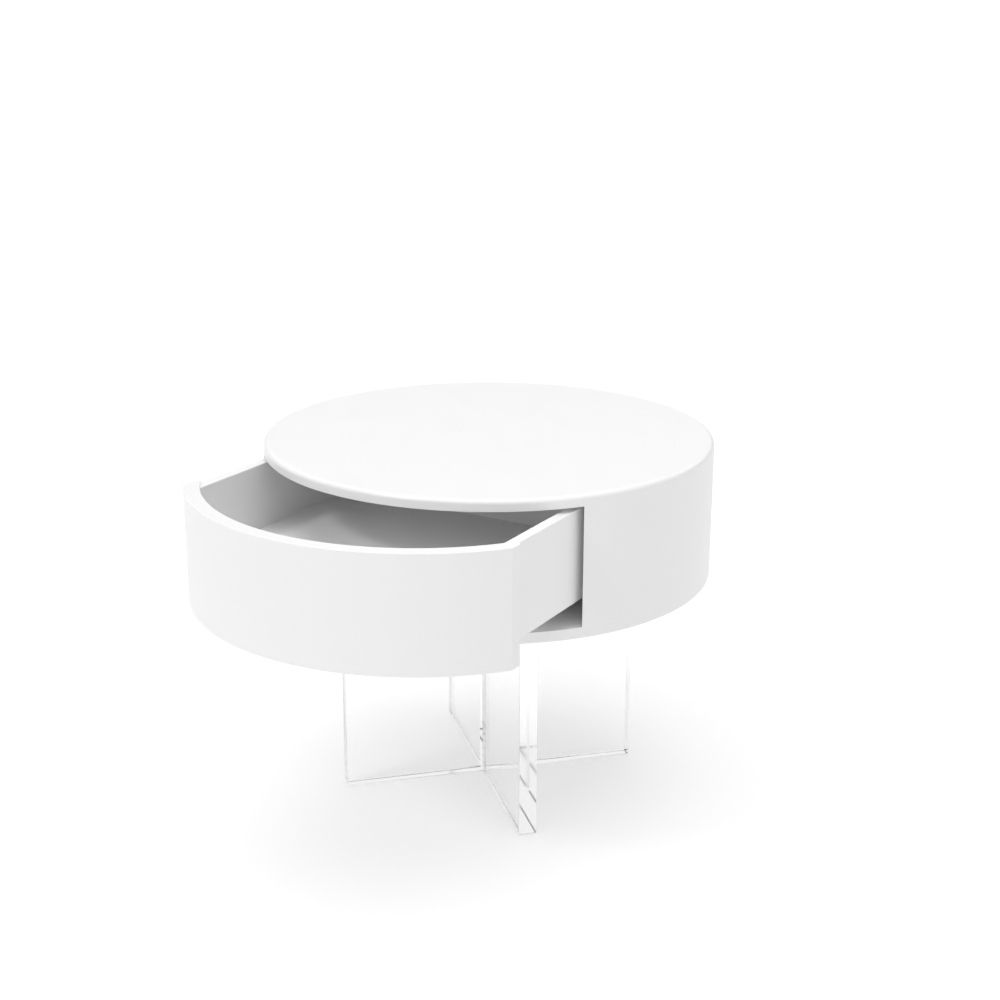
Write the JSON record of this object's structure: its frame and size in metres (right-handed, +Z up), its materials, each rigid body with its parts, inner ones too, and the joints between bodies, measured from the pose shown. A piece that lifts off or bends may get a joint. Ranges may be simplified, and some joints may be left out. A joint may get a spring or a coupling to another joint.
{
  "type": "nightstand",
  "caption": "Round drum nightstand in white lacquer with a curved push-to-open drawer, standing on two crossed clear acrylic panels.",
  "frame": {"origin": "where the drum's upright axis meets the floor", "axes": "+Z up, the drawer opens towards -Y, +X is right seen from the front"},
  "size_m": [0.5, 0.635, 0.41],
  "materials": {
    "white_lacquer": "board with satin white lacquer",
    "clear_acrylic": "clear, polished",
    "beech": "sanded, unfinished",
    "zinc_steel": "zinc plated",
    "ball_steel": "polished",
    "brass": "plain",
    "grey_plastic": "moulded",
    "soft_tip": "matt"
  },
  "bodies": {
    "cabinet": {"top_panel": "white_lacquer", "bottom_panel": "white_lacquer", "side_shell": "white_lacquer", "partition_left": "white_lacquer", "partition_right": "white_lacquer", "top_dowels": "beech", "bottom_screws": "zinc_steel", "acrylic_panel_slot_up": "clear_acrylic", "acrylic_panel_slot_down": "clear_acrylic", "base_inserts": "brass", "base_screws": "zinc_steel", "base_washers": "zinc_steel", "bay_batten_left": "white_lacquer", "bay_batten_right": "white_lacquer", "bay_batten_screws": "zinc_steel", "cabinet_rail_left": "zinc_steel", "cabinet_rail_right": "zinc_steel", "cabinet_rail_screws": "zinc_steel", "latch_body": "grey_plastic", "latch_spring": "zinc_steel", "latch_screws": "zinc_steel"},
    "drawer": {"drawer_front": "white_lacquer", "drawer_side_left": "white_lacquer", "drawer_side_right": "white_lacquer", "drawer_back": "white_lacquer", "drawer_bottom": "white_lacquer", "drawer_front_dowels": "beech", "drawer_back_dowels": "beech", "drawer_bottom_screws": "zinc_steel", "drawer_batten_left": "white_lacquer", "drawer_batten_right": "white_lacquer", "drawer_batten_screws": "zinc_steel", "drawer_rail_left": "zinc_steel", "drawer_rail_right": "zinc_steel", "drawer_rail_screws": "zinc_steel"},
    "push_plunger": {"latch_plunger": "grey_plastic", "latch_tip": "soft_tip"},
    "middle_rail_left_unit": {"middle_rail_left": "zinc_steel"},
    "outer_cage_left_unit": {"outer_cage_left": "brass", "outer_balls_left": "ball_steel"},
    "inner_cage_left_unit": {"inner_cage_left": "brass", "inner_balls_left": "ball_steel"},
    "middle_rail_right_unit": {"middle_rail_right": "zinc_steel"},
    "outer_cage_right_unit": {"outer_cage_right": "brass", "outer_balls_right": "ball_steel"},
    "inner_cage_right_unit": {"inner_cage_right": "brass", "inner_balls_right": "ball_steel"}
  },
  "joints": [
    {"name": "drawer_slide", "type": "slide", "parent": "cabinet", "child": "drawer", "axis": [0, -1, 0], "range_m": [-0.135, 0.105]},
    {"name": "middle_rail_left_slide", "type": "slide", "parent": "cabinet", "child": "middle_rail_left_unit", "axis": [0, -1, 0], "range_m": [-0.0676, 0.0526]},
    {"name": "outer_cage_left_slide", "type": "slide", "parent": "cabinet", "child": "outer_cage_left_unit", "axis": [0, -1, 0], "range_m": [-0.03385, 0.02635]},
    {"name": "inner_cage_left_slide", "type": "slide", "parent": "cabinet", "child": "inner_cage_left_unit", "axis": [0, -1, 0], "range_m": [-0.10135, 0.07885]},
    {"name": "middle_rail_right_slide", "type": "slide", "parent": "cabinet", "child": "middle_rail_right_unit", "axis": [0, -1, 0], "range_m": [-0.0676, 0.0526]},
    {"name": "outer_cage_right_slide", "type": "slide", "parent": "cabinet", "child": "outer_cage_right_unit", "axis": [0, -1, 0], "range_m": [-0.03385, 0.02635]},
    {"name": "inner_cage_right_slide", "type": "slide", "parent": "cabinet", "child": "inner_cage_right_unit", "axis": [0, -1, 0], "range_m": [-0.10135, 0.07885]},
    {"name": "latch_press", "type": "slide", "parent": "cabinet", "child": "push_plunger", "axis": [0, 1, 0], "range_m": [0, 0.003], "stiffness_N_per_m": 200, "springref_m": -0.008, "deforming": ["latch_spring"]}
  ],
  "couplings": [
    {"joint": "middle_rail_left_slide", "follows": "drawer_slide", "ratio": 0.5},
    {"joint": "outer_cage_left_slide", "follows": "drawer_slide", "ratio": 0.25},
    {"joint": "inner_cage_left_slide", "follows": "drawer_slide", "ratio": 0.75},
    {"joint": "middle_rail_right_slide", "follows": "drawer_slide", "ratio": 0.5},
    {"joint": "outer_cage_right_slide", "follows": "drawer_slide", "ratio": 0.25},
    {"joint": "inner_cage_right_slide", "follows": "drawer_slide", "ratio": 0.75}
  ]
}
